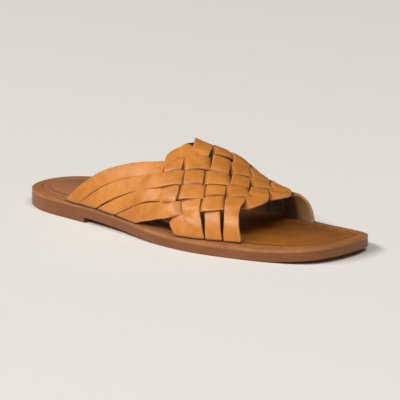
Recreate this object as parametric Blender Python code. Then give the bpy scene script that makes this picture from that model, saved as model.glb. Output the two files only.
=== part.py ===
"""A flat slide sandal for the right foot: eight flat leather straps plaited across the instep,
on a squared leather sole with a low heel lift.

Axes: +X from the heel to the toe, +Y to the inner (medial) side, +Z up, with the floor at Z = 0.
All sizes below are in millimetres, with x from the back of the heel and y from the middle line.
The objects are in metres, with their origin on the floor under the middle of the sole's box.
"""

import math
from collections import namedtuple

import bmesh
import bpy
import numpy as np

MM = 0.001
GAP = 0.3  # between pieces that lie on one another

# ---- Sole: driving sizes ---------------------------------------------------------------------
LENGTH = 262.0  # a European 39
HEEL_LIFT = 3.5  # the heel stands this much above the forefoot
HEEL_BREAST = 72.0  # where the heel lift ends, from the back
WAIST_END = 165.0  # where the forefoot's flat spot begins
SPRING_START = 205.0
TOE_SPRING = 3.5
OUTSOLE = 3.2  # thicknesses, from the floor up
MIDSOLE = 2.4
WELT = 2.2
INSOLE = 2.4
WELT_WIDTH = 7.0
WELT_FALL = 0.8  # the welt's outer edge is this much lower than its inner one
GROOVE = 0.9  # between the welt and the insole
EDGE_ROUND = 0.6  # the outsole's lower edge is taken in by this

SoleRow = namedtuple("SoleRow", "x lateral medial")
SOLE_ROWS = [  # half widths of the sole on the two sides of the middle line
    SoleRow(6.3, 19.5, 19.0),
    SoleRow(27.0, 32.5, 31.5),
    SoleRow(65.0, 37.0, 32.0),
    SoleRow(105.0, 41.0, 33.5),
    SoleRow(144.0, 47.5, 40.0),
    SoleRow(176.0, 48.0, 45.5),
    SoleRow(205.0, 42.0, 46.0),
    SoleRow(231.0, 33.5, 44.0),
    SoleRow(248.5, 24.5, 39.5),
    SoleRow(258.0, 13.0, 32.5),
]
TOE_TIP = (LENGTH, 10.0)
STATIONS = 40  # points along each side of the sole

# ---- Last: the surface that the straps lie on --------------------------------------------------
# height: the ridge over the sole; ridge: how far it lies to the inner side; the feet are where
# the straps meet the sole; full: how square the section is on each side, 0.55 being an ellipse.
LastRow = namedtuple("LastRow", "x height ridge foot_lateral foot_medial full_lateral full_medial")
LAST_ROWS = [
    LastRow(45.0, 59.0, 6.0, 33.5, 29.0, 0.32, 0.34),
    LastRow(62.0, 58.0, 6.0, 36.0, 30.5, 0.32, 0.34),
    LastRow(80.0, 57.0, 6.0, 37.5, 31.5, 0.32, 0.35),
    LastRow(110.0, 53.0, 5.5, 41.0, 33.5, 0.32, 0.38),
    LastRow(130.0, 47.8, 4.5, 44.0, 37.0, 0.37, 0.55),
    LastRow(150.0, 41.2, 3.5, 46.5, 40.5, 0.47, 0.75),
    LastRow(168.0, 32.7, 2.2, 45.5, 43.0, 0.55, 0.67),
    LastRow(185.0, 27.0, 1.2, 41.0, 43.5, 0.64, 0.65),
    LastRow(205.0, 23.0, 0.0, 33.5, 41.5, 0.73, 0.76),
]

# ---- Plait -------------------------------------------------------------------------------------
STRAP_THICK = 2.2
WEAVE_LIFT = 0.95  # a strap's middle over or under the last surface where two cross
FOOT_DIP = 9.0  # each strap is made this much too long and cut off at the sole
TURN_ROUND = {0: 0.80, 8: 0.27}  # how far a turn at the rear or front edge stays short of the corner
TURN_SWELL = {0: (0.36, 0.02), 8: (0.32, 0.15)}  # and how square it is on its two sides
CROSS_X = 165.5  # the plait's grid: its middle on the ridge,
CROSS_DX = 18.4  # the step along the foot,
CROSS_DS = 25.7  # and over the instep, which narrows
CROSS_NARROW = 2.3  # towards the sides;
CROSS_SKEW = -1.1  # it slants, bows back
CROSS_BOW = -2.6  # towards the sides
CROSS_FAN = 0.5  # and opens there
CROSS_MID = (2.5, 2.0)
CROSS_DROP = (6.0, 1.6)  # the outermost crossings lie this much lower, outer and inner side
RUN_SHIFT = {  # single straps lie this share of a step further on
    "R": {0: 0.05, 1: 0.22, 2: 0.19, 3: 0.16},
    "C": {2: 0.07, 3: 0.07},
}
SPOT_SHIFT = {(0, 1): 0.09, (-1, 1): 0.06, (4, 3): -0.07}  # and single crossings this share more
REAR_SPREAD = 0.15  # behind the last but one row the grid is wider
REAR_SHIFT = 2.0  # and lies more to the inner side

# A strap runs from a foot on the outer (lateral) side to one on the inner side. "R" straps run
# forwards on their way over and "C" straps backwards; a strap that reaches the plait's edge turns.
# cells: the crossings that it passes, as (R number, C number).
Strap = namedtuple("Strap", "name lateral_leg cells medial_leg")


def run_r(i, first, last):
    return [(i, j) for j in range(first, last + 1)]


def run_c(j, first, last):
    return [(i, j) for i in range(first, last - 1, -1)]


# The legs: the foot's place, two points on the way up (x and height) and widths.
Leg = namedtuple("Leg", "foot low high width foot_width")
FAN = [  # the rear legs of the outer side, from the heel forwards
    Leg(60.0, (81.8, 18.5), (106.0, 31.5), 10.9, 9.4),
    Leg(75.7, (93.0, 12.4), (117.0, 25.0), 11.2, 10.0),
    Leg(94.4, (110.5, 9.6), (130.0, 20.4), 9.9, 9.3),
    Leg(115.0, (127.5, 6.4), (141.0, 11.0), 10.8, 10.2),
]
INNER_FAN = [  # and of the inner side, where the plait's rear edge comes down further forward
    Leg(69.5, (89.5, 16.5), (109.0, 28.2), 9.2, 8.4),
    Leg(84.5, (101.8, 12.2), (120.5, 23.6), 8.8, 8.4),
    Leg(101.5, (117.4, 8.8), (134.8, 18.0), 8.6, 8.4),
    Leg(120.0, (132.4, 6.0), (146.5, 11.2), 8.8, 8.6),
]
BASE = [  # the front legs of the outer side
    Leg(167.7, (162.9, 7.9), (159.5, 12.6), 12.8, 10.4),
    Leg(178.6, (175.4, 8.5), (171.4, 15.2), 11.8, 10.8),
    Leg(190.4, (187.9, 11.2), (184.6, 18.5), 11.0, 11.6),
    Leg(202.4, (199.7, 12.5), (195.7, 21.6), 10.0, 11.8),
]
INNER_BACK = 2.2  # those of the inner side stand this much further back
INNER_BASE = [
    Leg(foot - INNER_BACK, (low[0] - INNER_BACK, low[1]), (high[0] - INNER_BACK, high[1]), *widths)
    for foot, low, high, *widths in BASE
]
RUN_WIDTH = {"R": 14.1, "C": 11.3}  # of a strap on the ridge
RUN_NARROW = {"R": 0.085, "C": -0.005}  # and what it loses with each millimetre down the sides

STRAPS = [
    Strap("C0", BASE[0], run_c(0, 4, 1) + [(0, 0)] + run_r(0, 1, 5), INNER_BASE[1]),
    Strap("C1", BASE[1], run_c(1, 4, 0) + [(-1, 1)] + run_r(-1, 2, 5), INNER_BASE[0]),
    Strap("C2", BASE[2], run_c(2, 4, -1), INNER_FAN[0]),
    Strap("C3", BASE[3], run_c(3, 4, -1), INNER_FAN[1]),
    Strap("R1", FAN[0], run_r(1, 0, 5), INNER_BASE[2]),
    Strap("R2", FAN[1], run_r(2, 0, 5), INNER_BASE[3]),
    Strap("R3", FAN[2], run_r(3, 0, 4) + [(3, 5)] + run_c(5, 2, -1), INNER_FAN[3]),
    Strap("R4", FAN[3], run_r(4, 0, 3) + [(4, 4)] + run_c(4, 3, -1), INNER_FAN[2]),
]


# ---- Curves ------------------------------------------------------------------------------------
def ease(t):
    t = np.clip(t, 0.0, 1.0)
    return t * t * (3.0 - 2.0 * t)


def smooth(points, steps, closed=False):
    """A Catmull-Rom curve through the points, with this many steps to a span."""
    p = np.asarray(points, float)
    if closed:
        p = np.vstack([p[-1:], p, p[:2]])
    else:
        p = np.vstack([2 * p[0] - p[1], p, 2 * p[-1] - p[-2]])
    made = []
    for a, b, c, d in zip(p[:-3], p[1:-2], p[2:-1], p[3:]):
        ka, kb, kc = (max(np.linalg.norm(v) ** 0.5, 1e-6) for v in (b - a, c - b, d - c))
        tangent_b = (b - a) / ka - (c - a) / (ka + kb) + (c - b) / kb
        tangent_c = (c - b) / kb - (d - b) / (kb + kc) + (d - c) / kc
        for k in range(steps):
            t = k / steps
            made.append(
                (2 * t**3 - 3 * t**2 + 1) * b
                + (t**3 - 2 * t**2 + t) * kb * tangent_b
                + (3 * t**2 - 2 * t**3) * c
                + (t**3 - t**2) * kb * tangent_c
            )
    if not closed:
        made.append(p[-2])
    return np.array(made)


def along(points, shares):
    """Points at these shares of a curve's length."""
    lengths = np.r_[0.0, np.cumsum(np.linalg.norm(np.diff(points, axis=0), axis=1))]
    return np.column_stack([np.interp(np.asarray(shares) * lengths[-1], lengths, c) for c in points.T])


def table(rows, column, x):
    return float(np.interp(x, [row.x for row in rows], [getattr(row, column) for row in rows]))


# ---- Sole --------------------------------------------------------------------------------------
def sole_under(x):
    """Height of the outsole's lower face over the floor."""
    lift = HEEL_LIFT * (1.0 - ease((x - HEEL_BREAST) / (WAIST_END - HEEL_BREAST)))
    spring = TOE_SPRING * max(0.0, (x - SPRING_START) / (LENGTH - SPRING_START)) ** 2
    return lift + spring


MIDSOLE_UNDER = OUTSOLE + GAP
WELT_UNDER = MIDSOLE_UNDER + MIDSOLE + GAP
WELT_TOP = WELT_UNDER + WELT
INSOLE_TOP = WELT_UNDER + INSOLE


def sole_loop(inset=0.0):
    """The sole's outline, taken in by inset: heel back, lateral side, toe, medial side."""
    lateral = [(row.x, -row.lateral) for row in SOLE_ROWS]
    medial = [(row.x, row.medial) for row in SOLE_ROWS]
    loop = smooth([(0.0, 0.0)] + lateral + [TOE_TIP] + medial[::-1], 12, closed=True)
    toe = 12 * (len(SOLE_ROWS) + 1)
    shares = 0.5 - 0.5 * np.cos(np.linspace(0.0, math.pi, STATIONS + 1))
    shares = 0.55 * shares + 0.45 * np.linspace(0.0, 1.0, STATIONS + 1)
    out = along(loop[: toe + 1], shares)
    back = along(np.vstack([loop[toe:], loop[:1]]), 1.0 - shares[::-1])
    loop = np.vstack([out[:-1], back[:-1]])
    way = np.roll(loop, -1, axis=0) - np.roll(loop, 1, axis=0)
    way /= np.linalg.norm(way, axis=1)[:, None]
    return loop + inset * np.column_stack([-way[:, 1], way[:, 0]])


def middle_of_sole():
    loop = sole_loop()
    return np.array([*(loop.min(axis=0) + loop.max(axis=0)) / 2, 0.0])


CENTRE = middle_of_sole()


def heel_loop():
    """The sole's outline as far as the heel breast."""
    loop = sole_loop()
    sides = loop[: STATIONS + 1], np.vstack([loop[:1], loop[: STATIONS - 1 : -1]])
    ends = []
    for side in sides:
        kept = side[side[:, 0] < HEEL_BREAST - 1.0]
        ends.append(np.vstack([kept, [HEEL_BREAST, np.interp(HEEL_BREAST, side[:, 0], side[:, 1])]]))
    count = min(len(end) for end in ends)
    lateral, medial = (np.vstack([end[: count - 1], end[-1:]]) for end in ends)
    middle = [[HEEL_BREAST, (lateral[-1, 1] + medial[-1, 1]) / 2]]
    return np.vstack([lateral, middle, medial[:0:-1]])


def new_object(name, verts, faces, look, hidden=False):
    mesh = bpy.data.meshes.new(name)
    mesh.from_pydata([tuple((np.asarray(v, float) - CENTRE) * MM) for v in verts], [], faces)
    work = bmesh.new()
    work.from_mesh(mesh)
    bmesh.ops.remove_doubles(work, verts=work.verts, dist=1e-6)
    bmesh.ops.dissolve_degenerate(work, edges=work.edges, dist=1e-6)
    bmesh.ops.recalc_face_normals(work, faces=work.faces)
    work.to_mesh(mesh)
    work.free()
    obj = bpy.data.objects.new(name, mesh)
    if hidden:
        CUTTERS.objects.link(obj)
        obj.hide_render = True
        obj.display_type = "WIRE"
    else:
        PARTS.objects.link(obj)
    mesh.materials.append(material(name, *look))
    return obj


def material(name, colour, roughness, metallic=0.0):
    made = bpy.data.materials.new(name)
    made.use_nodes = True
    shader = made.node_tree.nodes["Principled BSDF"]
    shader.inputs["Base Color"].default_value = (*colour, 1.0)
    shader.inputs["Roughness"].default_value = roughness
    shader.inputs["Metallic"].default_value = metallic
    made.diffuse_color = (*colour, 1.0)
    return made


def plate(name, levels, look, hidden=False):
    """A closed body from stacked loops. levels: (loop, height over x) from the bottom up."""
    count = len(levels[0][0])
    verts = [(x, y, height(x)) for loop, height in levels for x, y in loop]
    faces = []
    for k in range(len(levels) - 1):
        for i in range(count):
            j = (i + 1) % count
            faces.append((k * count + i, k * count + j, (k + 1) * count + j, (k + 1) * count + i))
    half = count // 2
    for base in (0, (len(levels) - 1) * count):
        for i in range(half):
            rung = [base + i, base + i + 1, base + count - i - 1, base + (count - i) % count]
            faces.append(tuple(dict.fromkeys(rung)))
    return new_object(name, verts, faces, look, hidden)


def ring(name, outer, inner, under, top_outer, top_inner, look):
    """A closed band between two loops."""
    count = len(outer)
    rows = [(outer, under), (inner, under), (inner, top_inner), (outer, top_outer)]
    verts = [(x, y, height(x)) for loop, height in rows for x, y in loop]
    faces = []
    for k in range(4):
        for i in range(count):
            j, n = (i + 1) % count, (k + 1) % 4
            faces.append((k * count + i, k * count + j, n * count + j, n * count + i))
    return new_object(name, verts, faces, look)


def over(offset):
    return lambda x: sole_under(x) + offset


# ---- Upper -------------------------------------------------------------------------------------
def section(x, side):
    """The last's section from the ridge to the foot: points (y, z) and the length to each."""
    sign, which = (-1.0, "lateral") if side < 0 else (1.0, "medial")
    height, ridge = table(LAST_ROWS, "height", x), table(LAST_ROWS, "ridge", x)
    foot = sign * table(LAST_ROWS, "foot_" + which, x)
    full = table(LAST_ROWS, "full_" + which, x)
    base = sole_under(x) + INSOLE_TOP + GAP
    top, low = np.array([ridge, base + height]), np.array([foot, base])
    t = np.linspace(0.0, 1.0, 60)[:, None]
    bend_top, bend_low = top + [full * (foot - ridge), 0.0], low + [0.0, full * height]
    curve = (1 - t) ** 3 * top + 3 * (1 - t) ** 2 * t * bend_top + 3 * (1 - t) * t**2 * bend_low + t**3 * low
    return curve, np.r_[0.0, np.cumsum(np.linalg.norm(np.diff(curve, axis=0), axis=1))]


def last_point(x, s):
    """The point of the last at x, the length s over the section from the ridge (medial is +)."""
    curve, lengths = section(x, s)
    a = abs(s)
    y, z = np.interp(a, lengths, curve[:, 0]), np.interp(a, lengths, curve[:, 1])
    return np.array([x, y, z - max(0.0, a - lengths[-1])])


def last_frame(x, s):
    """The point, and the last's two tangents and outward normal there."""
    step = 0.5
    along_x = (last_point(x + step, s) - last_point(x - step, s)) / (2 * step)
    along_s = (last_point(x, s + step) - last_point(x, s - step)) / (2 * step)
    normal = np.cross(along_x, along_s)
    return last_point(x, s), along_x, along_s, normal / np.linalg.norm(normal)


def grid_point(u, v):
    off, fore = u - CROSS_MID[0], v - CROSS_MID[1]
    x = CROSS_X + CROSS_DX * fore + CROSS_SKEW * off + (CROSS_BOW + CROSS_FAN * fore) * off * off
    rear = max(0.0, -fore - 1.0)
    s = (CROSS_DS - CROSS_NARROW * abs(off)) * off * (1.0 + REAR_SPREAD * rear) + REAR_SHIFT * rear
    drop = CROSS_DROP[int(off > 0)] * max(0.0, 2.0 * abs(off) - 4.0)
    return np.array([x, s + math.copysign(drop, off)])


def cell_point(i, j):
    fore = i + RUN_SHIFT["R"].get(i, 0.0)
    aside = j + RUN_SHIFT["C"].get(j, 0.0) + SPOT_SHIFT.get((i, j), 0.0)
    return grid_point((aside - fore + 4) / 2, (fore + aside) / 2)


def foot_point(x, side, rise):
    """The place on the last this far up from the foot."""
    return np.array([x, side * (section(x, side)[1][-1] - rise)])


def leg_points(leg, side):
    """(x, s, lift, width) from below the foot up to the high point."""
    lean = (leg.low[0] - leg.foot) / leg.low[1]
    stops = (
        (leg.foot - lean * FOOT_DIP, -FOOT_DIP, leg.foot_width),
        (leg.foot, 0.0, leg.foot_width),
        (*leg.low, leg.width),
        (*leg.high, leg.width),
    )
    return [(*foot_point(x, side, rise), 0.0, width) for x, rise, width in stops]


def strap_path(strap):
    """(x, s, lift, width) along a strap: lift is 1 where it lies over another, -1 under."""
    points = leg_points(strap.lateral_leg, -1)
    for n, (i, j) in enumerate(strap.cells):
        place = cell_point(i, j)
        run = "R" if strap.cells[min(n + 1, len(strap.cells) - 1)][1] > strap.cells[max(n - 1, 0)][1] else "C"
        width = RUN_WIDTH[run] - RUN_NARROW[run] * abs(place[1])
        if i + j in TURN_ROUND:
            sides = [cell_point(*strap.cells[k]) for k in (n - 1, n + 1)]
            inwards = (sides[0] + sides[1]) / 2 - place
            place = place + TURN_ROUND[i + j] * inwards
            ends = [(place + side) / 2 - swell * inwards for side, swell in zip(sides, TURN_SWELL[i + j])]
            points += [(*spot, 0.0, width) for spot in (ends[0], place, ends[1])]
        else:
            points.append((*place, 1.0 if (i + j) % 2 == (run == "C") else -1.0, width))
    return smooth(points + leg_points(strap.medial_leg, 1)[::-1], 3)


def strap_body(strap):
    """One strap as a flat closed band that lies on the last."""
    path = strap_path(strap)
    verts, faces = [], []
    for n, (x, s, lift, width) in enumerate(path):
        point, along_x, along_s, normal = last_frame(x, s)
        way = path[min(n + 1, len(path) - 1)][:2] - path[max(n - 1, 0)][:2]
        way = way[0] * along_x + way[1] * along_s
        side = np.cross(normal, way / np.linalg.norm(way))
        basis = np.column_stack([along_x, along_s])
        across = np.linalg.lstsq(basis, side, rcond=None)[0]
        for k in (-0.5, 0.0, 0.5):
            edge, _, _, up = last_frame(*(np.array([x, s]) + k * width * across))
            for face in (-0.5, 0.5):
                verts.append(edge + up * (lift * WEAVE_LIFT + face * STRAP_THICK))
    ringed = [0, 2, 4, 5, 3, 1]
    for n in range(len(path) - 1):
        for a, b in zip(ringed, ringed[1:] + ringed[:1]):
            faces.append((6 * n + a, 6 * n + b, 6 * n + 6 + b, 6 * n + 6 + a))
    last = 6 * (len(path) - 1)
    for base in (0, last):
        faces.append((base, base + 2, base + 3, base + 1))
        faces.append((base + 2, base + 4, base + 5, base + 3))
    return new_object("strap_" + strap.name, verts, faces, UPPER_LOOK, hidden=True)


def boolean(obj, other, operation):
    mod = obj.modifiers.new(operation.lower() + "_" + other.name, "BOOLEAN")
    mod.operation = operation
    mod.object = other
    mod.solver = "MANIFOLD"


# ---- Build -------------------------------------------------------------------------------------
for old in list(bpy.data.objects):
    bpy.data.objects.remove(old, do_unlink=True)

PARTS = bpy.data.collections.new("slide_sandal")
CUTTERS = bpy.data.collections.new("cutters")
for group in (PARTS, CUTTERS):
    bpy.context.scene.collection.children.link(group)
CUTTERS.hide_render = True

SOLE_LOOK = ((0.24, 0.11, 0.055), 0.55)
WELT_LOOK = ((0.50, 0.27, 0.13), 0.45)
INSOLE_LOOK = ((0.30, 0.14, 0.06), 0.5)
UPPER_LOOK = ((0.62, 0.30, 0.10), 0.42)

edge = sole_loop()
outsole_levels = [(sole_loop(EDGE_ROUND), sole_under), (edge, over(EDGE_ROUND)), (edge, over(OUTSOLE))]
plate("outsole", outsole_levels, SOLE_LOOK)
heel = heel_loop()
plate("heel_lift", [(heel, lambda x: 0.0), (heel, lambda x: HEEL_LIFT - GAP)], SOLE_LOOK)
plate("midsole", [(edge, over(MIDSOLE_UNDER)), (edge, over(MIDSOLE_UNDER + MIDSOLE))], SOLE_LOOK)
welt_tops = over(WELT_TOP - WELT_FALL), over(WELT_TOP)
ring("welt", edge, sole_loop(WELT_WIDTH), over(WELT_UNDER), *welt_tops, WELT_LOOK)
inside = sole_loop(WELT_WIDTH + GROOVE)
plate("insole", [(inside, over(WELT_UNDER)), (inside, over(INSOLE_TOP))], INSOLE_LOOK)

bodies = [strap_body(strap) for strap in STRAPS]
first = bodies[0]
upper = bpy.data.objects.new("upper", first.data.copy())
upper.data.name = "upper"
PARTS.objects.link(upper)
upper.data.materials.clear()
upper.data.materials.append(material("upper", *UPPER_LOOK))
for body in bodies[1:]:
    boolean(upper, body, "UNION")
rim = WELT_TOP - WELT_FALL + GAP
ground = plate(
    "sole_cutter",
    [
        (sole_loop(-14.0), lambda x: -20.0),
        (sole_loop(-14.0), over(rim - 2 * WELT_FALL)),
        (edge, over(rim)),
        (sole_loop(WELT_WIDTH - GAP), over(WELT_TOP + GAP)),
        (sole_loop(WELT_WIDTH), over(INSOLE_TOP + GAP)),
    ],
    UPPER_LOOK,
    hidden=True,
)
boolean(upper, ground, "DIFFERENCE")
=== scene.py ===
"""The looks of a plaited leather slide sandal for the right foot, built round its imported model.

Each strap is cut flat, has its edges rounded and is then laid over the last, over and under the
others. The sole's layers, the welt with its wheel marks and the insole with its pressed line
stand for the plain solids. Shapes are worked out in millimetres, with x from the back of the
heel and y from the middle line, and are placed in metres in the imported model's frame.
"""

import math
from collections import namedtuple

import bmesh
import bpy
import numpy as np
from mathutils import Euler, Matrix, Vector


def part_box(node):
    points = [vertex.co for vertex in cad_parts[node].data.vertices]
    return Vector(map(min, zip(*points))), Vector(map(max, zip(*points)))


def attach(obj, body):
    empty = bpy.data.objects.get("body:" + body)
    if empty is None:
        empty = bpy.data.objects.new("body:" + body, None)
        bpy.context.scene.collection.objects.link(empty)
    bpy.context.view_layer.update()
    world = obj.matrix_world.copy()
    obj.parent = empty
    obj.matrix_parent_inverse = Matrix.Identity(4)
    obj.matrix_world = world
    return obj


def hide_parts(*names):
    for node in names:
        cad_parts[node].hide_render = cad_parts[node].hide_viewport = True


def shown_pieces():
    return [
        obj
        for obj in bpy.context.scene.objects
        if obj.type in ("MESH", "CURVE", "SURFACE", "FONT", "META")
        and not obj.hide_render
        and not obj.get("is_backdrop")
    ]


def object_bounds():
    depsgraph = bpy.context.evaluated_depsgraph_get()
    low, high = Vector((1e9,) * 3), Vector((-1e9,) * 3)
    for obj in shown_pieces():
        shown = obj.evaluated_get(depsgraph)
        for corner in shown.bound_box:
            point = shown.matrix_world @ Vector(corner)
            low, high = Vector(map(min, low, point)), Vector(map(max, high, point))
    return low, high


bl_info = {
    "name": "Plaited Slide Sandal",
    "version": (1, 0, 0),
    "blender": (4, 5, 0),
    "location": "View3D > Sidebar > Sandal",
    "description": "Straps, sole, welt and insole of a plaited leather slide sandal, and its stage",
    "category": "Mesh",
}

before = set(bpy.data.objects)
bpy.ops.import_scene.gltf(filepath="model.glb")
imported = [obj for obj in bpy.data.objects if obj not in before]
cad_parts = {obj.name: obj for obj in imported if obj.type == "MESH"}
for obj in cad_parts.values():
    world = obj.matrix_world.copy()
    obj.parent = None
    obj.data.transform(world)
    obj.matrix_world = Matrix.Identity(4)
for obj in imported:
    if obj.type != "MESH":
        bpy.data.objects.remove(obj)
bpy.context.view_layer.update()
MM = 0.001


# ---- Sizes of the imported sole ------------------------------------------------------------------
def node_span(node, axis):
    """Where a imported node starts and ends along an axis, in millimetres."""
    low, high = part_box(node)
    return low[axis] / MM, high[axis] / MM


LENGTH = node_span("outsole", 0)[1] - node_span("outsole", 0)[0]
GAP = 0.3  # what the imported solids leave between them
HEEL_LIFT = node_span("heel_lift", 2)[1] + GAP
OUTSOLE_TOP = node_span("outsole", 2)[1] - HEEL_LIFT  # heights are over the outsole's lower face
MIDSOLE_TOP = node_span("midsole", 2)[1] - HEEL_LIFT
WELT_TOP = node_span("welt", 2)[1] - HEEL_LIFT
INSOLE_TOP = node_span("insole", 2)[1] - HEEL_LIFT
HEEL_BREAST = 72.0
WAIST_END = 165.0
SPRING_START = 205.0
TOE_SPRING = 3.5
WELT_WIDTH = 7.0
WELT_FALL = 0.8
GROOVE = 0.9

SoleRow = namedtuple("SoleRow", "x lateral medial")
SOLE_ROWS = [  # half widths of the sole on the two sides of the middle line
    SoleRow(6.3, 19.5, 19.0),
    SoleRow(27.0, 32.5, 31.5),
    SoleRow(65.0, 37.0, 32.0),
    SoleRow(105.0, 41.0, 33.5),
    SoleRow(144.0, 47.5, 40.0),
    SoleRow(176.0, 48.0, 45.5),
    SoleRow(205.0, 42.0, 46.0),
    SoleRow(231.0, 33.5, 44.0),
    SoleRow(248.5, 24.5, 39.5),
    SoleRow(258.0, 13.0, 32.5),
]
TOE_TIP = (LENGTH, 10.0)

# ---- Last and plait ----------------------------------------------------------------------------
# The surface that the straps lie on: height of the ridge over the sole, how far it lies to the
# inner side, where the straps meet the sole and how square the section is on each side.
LastRow = namedtuple("LastRow", "x height ridge foot_lateral foot_medial full_lateral full_medial")
LAST_ROWS = [
    LastRow(45.0, 59.0, 6.0, 33.5, 29.0, 0.32, 0.34),
    LastRow(62.0, 58.0, 6.0, 36.0, 30.5, 0.32, 0.34),
    LastRow(80.0, 57.0, 6.0, 37.5, 31.5, 0.32, 0.35),
    LastRow(110.0, 53.0, 5.5, 41.0, 33.5, 0.32, 0.38),
    LastRow(130.0, 47.8, 4.5, 44.0, 37.0, 0.37, 0.55),
    LastRow(150.0, 41.2, 3.5, 46.5, 40.5, 0.47, 0.75),
    LastRow(168.0, 32.7, 2.2, 45.5, 43.0, 0.55, 0.67),
    LastRow(185.0, 27.0, 1.2, 41.0, 43.5, 0.64, 0.65),
    LastRow(205.0, 23.0, 0.0, 33.5, 41.5, 0.73, 0.76),
]
SECTION_STEPS = 60

FOOT_DIP = 9.0  # each strap is made this much too long and cut off at the sole
TURN_ROUND = {0: 0.80, 8: 0.27}  # how far a turn at the rear or front edge stays short of the corner
TURN_SWELL = {0: (0.36, 0.02), 8: (0.32, 0.15)}  # and how square it is on its two sides
CROSS_X = 165.5  # where the middle of the plait's grid lies on the ridge
CROSS_MID = (2.5, 2.0)  # and its place in the grid, in steps over the instep and along the foot
CROSS_DX = 18.4  # a step along the foot
CROSS_DS = 25.7  # a step over the instep
CROSS_NARROW = 2.3  # and what it loses with each step towards the sides
CROSS_SKEW = -1.1  # the grid slants back towards the inner side
CROSS_BOW = -2.6  # and bows back towards both sides,
CROSS_FAN = 0.5  # but less so in its front rows
CROSS_DROP = (6.0, 1.6)  # the outermost crossings lie this much lower, outer and inner side
RUN_SHIFT = {  # single straps lie this share of a step further on
    "R": {0: 0.05, 1: 0.22, 2: 0.19, 3: 0.16},
    "C": {2: 0.07, 3: 0.07},
}
SPOT_SHIFT = {(0, 1): 0.09, (-1, 1): 0.06, (4, 3): -0.07}  # and single crossings this share more
REAR_SPREAD = 0.15  # behind its second row from the rear the grid is wider
REAR_SHIFT = 2.0  # and lies more to the inner side

# "R" straps run forwards on their way from the outer to the inner side, "C" straps backwards.
# cells: the crossings that a strap passes, as (R number, C number).
Strap = namedtuple("Strap", "name lateral_leg cells medial_leg")
# foot: x where the leg meets the sole. low, high: points further up, as (x, length over the last
# from the sole). sink: the share of a strap's lift that the leg lies lower than the last.
Leg = namedtuple("Leg", "foot low high width foot_width sink", defaults=(0.0,))


def run_r(i, first, last):
    return [(i, j) for j in range(first, last + 1)]


def run_c(j, first, last):
    return [(i, j) for i in range(first, last - 1, -1)]


FAN = [  # the rear legs of the outer side, from the heel forwards
    Leg(60.0, (81.8, 18.5), (106.0, 31.5), 10.9, 9.4),
    Leg(75.7, (93.0, 12.4), (117.0, 25.0), 11.2, 10.0),
    Leg(94.4, (110.5, 9.6), (130.0, 20.4), 9.9, 9.3),
    Leg(115.0, (127.5, 6.9), (141.0, 11.6), 11.8, 10.6),
]
INNER_FAN = [  # and of the inner side
    Leg(69.5, (89.5, 16.5), (109.0, 28.2), 9.2, 8.4),
    Leg(84.5, (101.8, 12.2), (120.5, 23.6), 8.8, 8.4),
    Leg(101.5, (117.4, 8.8), (134.8, 18.0), 8.6, 8.4),
    Leg(120.0, (132.4, 6.0), (146.5, 11.2), 8.8, 8.6),
]
BASE = [  # the front legs of the outer side
    Leg(167.7, (162.9, 7.9), (159.5, 12.6), 12.8, 10.4, 0.45),
    Leg(177.8, (174.6, 8.5), (170.8, 15.2), 11.5, 10.9),
    Leg(189.6, (187.1, 11.2), (184.0, 18.5), 10.4, 11.2),
    Leg(201.7, (199.0, 12.5), (195.2, 21.6), 10.0, 11.6),
]
INNER_BASE = [  # and of the inner side, edge to edge
    Leg(157.9, (156.9, 7.9), (155.3, 12.6), 14.4, 14.9, 0.45),
    Leg(172.2, (170.4, 8.5), (167.7, 15.2), 13.1, 13.1),
    Leg(185.4, (183.6, 11.2), (181.4, 18.5), 12.3, 12.6),
    Leg(198.8, (196.4, 12.5), (193.2, 21.6), 12.0, 12.8),
]
RUN_WIDTH = {"R": 14.95, "C": 12.1}  # of a strap on the ridge
RUN_NARROW = {"R": 0.09, "C": -0.012}  # and what it loses with each millimetre down the sides

STRAPS = [
    Strap("C0", BASE[0], run_c(0, 4, 1) + [(0, 0)] + run_r(0, 1, 5), INNER_BASE[1]),
    Strap("C1", BASE[1], run_c(1, 4, 0) + [(-1, 1)] + run_r(-1, 2, 5), INNER_BASE[0]),
    Strap("C2", BASE[2], run_c(2, 4, -1), INNER_FAN[0]),
    Strap("C3", BASE[3], run_c(3, 4, -1), INNER_FAN[1]),
    Strap("R1", FAN[0], run_r(1, 0, 5), INNER_BASE[2]),
    Strap("R2", FAN[1], run_r(2, 0, 5), INNER_BASE[3]),
    Strap("R3", FAN[2], run_r(3, 0, 4) + [(3, 5)] + run_c(5, 2, -1), INNER_FAN[3]),
    Strap("R4", FAN[3], run_r(4, 0, 3) + [(4, 4)] + run_c(4, 3, -1), INNER_FAN[2]),
]


# ---- Curves ------------------------------------------------------------------------------------
def ease(t):
    t = np.clip(t, 0.0, 1.0)
    return t * t * (3.0 - 2.0 * t)


def smooth(points, steps, closed=False):
    """A Catmull-Rom curve through the points, with this many steps to a span."""
    p = np.asarray(points, float)
    if closed:
        p = np.vstack([p[-1:], p, p[:2]])
    else:
        p = np.vstack([2 * p[0] - p[1], p, 2 * p[-1] - p[-2]])
    made = []
    for a, b, c, d in zip(p[:-3], p[1:-2], p[2:-1], p[3:]):
        ka, kb, kc = (max(np.linalg.norm(v) ** 0.5, 1e-6) for v in (b - a, c - b, d - c))
        tangent_b = (b - a) / ka - (c - a) / (ka + kb) + (c - b) / kb
        tangent_c = (c - b) / kb - (d - b) / (kb + kc) + (d - c) / kc
        for k in range(steps):
            t = k / steps
            made.append(
                (2 * t**3 - 3 * t**2 + 1) * b
                + (t**3 - 2 * t**2 + t) * kb * tangent_b
                + (3 * t**2 - 2 * t**3) * c
                + (t**3 - t**2) * kb * tangent_c
            )
    if not closed:
        made.append(p[-2])
    return np.array(made)


def lengths_along(points):
    return np.r_[0.0, np.cumsum(np.linalg.norm(np.diff(points, axis=0), axis=1))]


def resample(values, lengths, wanted):
    """Each column of values at the wanted lengths."""
    return np.column_stack([np.interp(wanted, lengths, column) for column in values.T])


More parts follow.
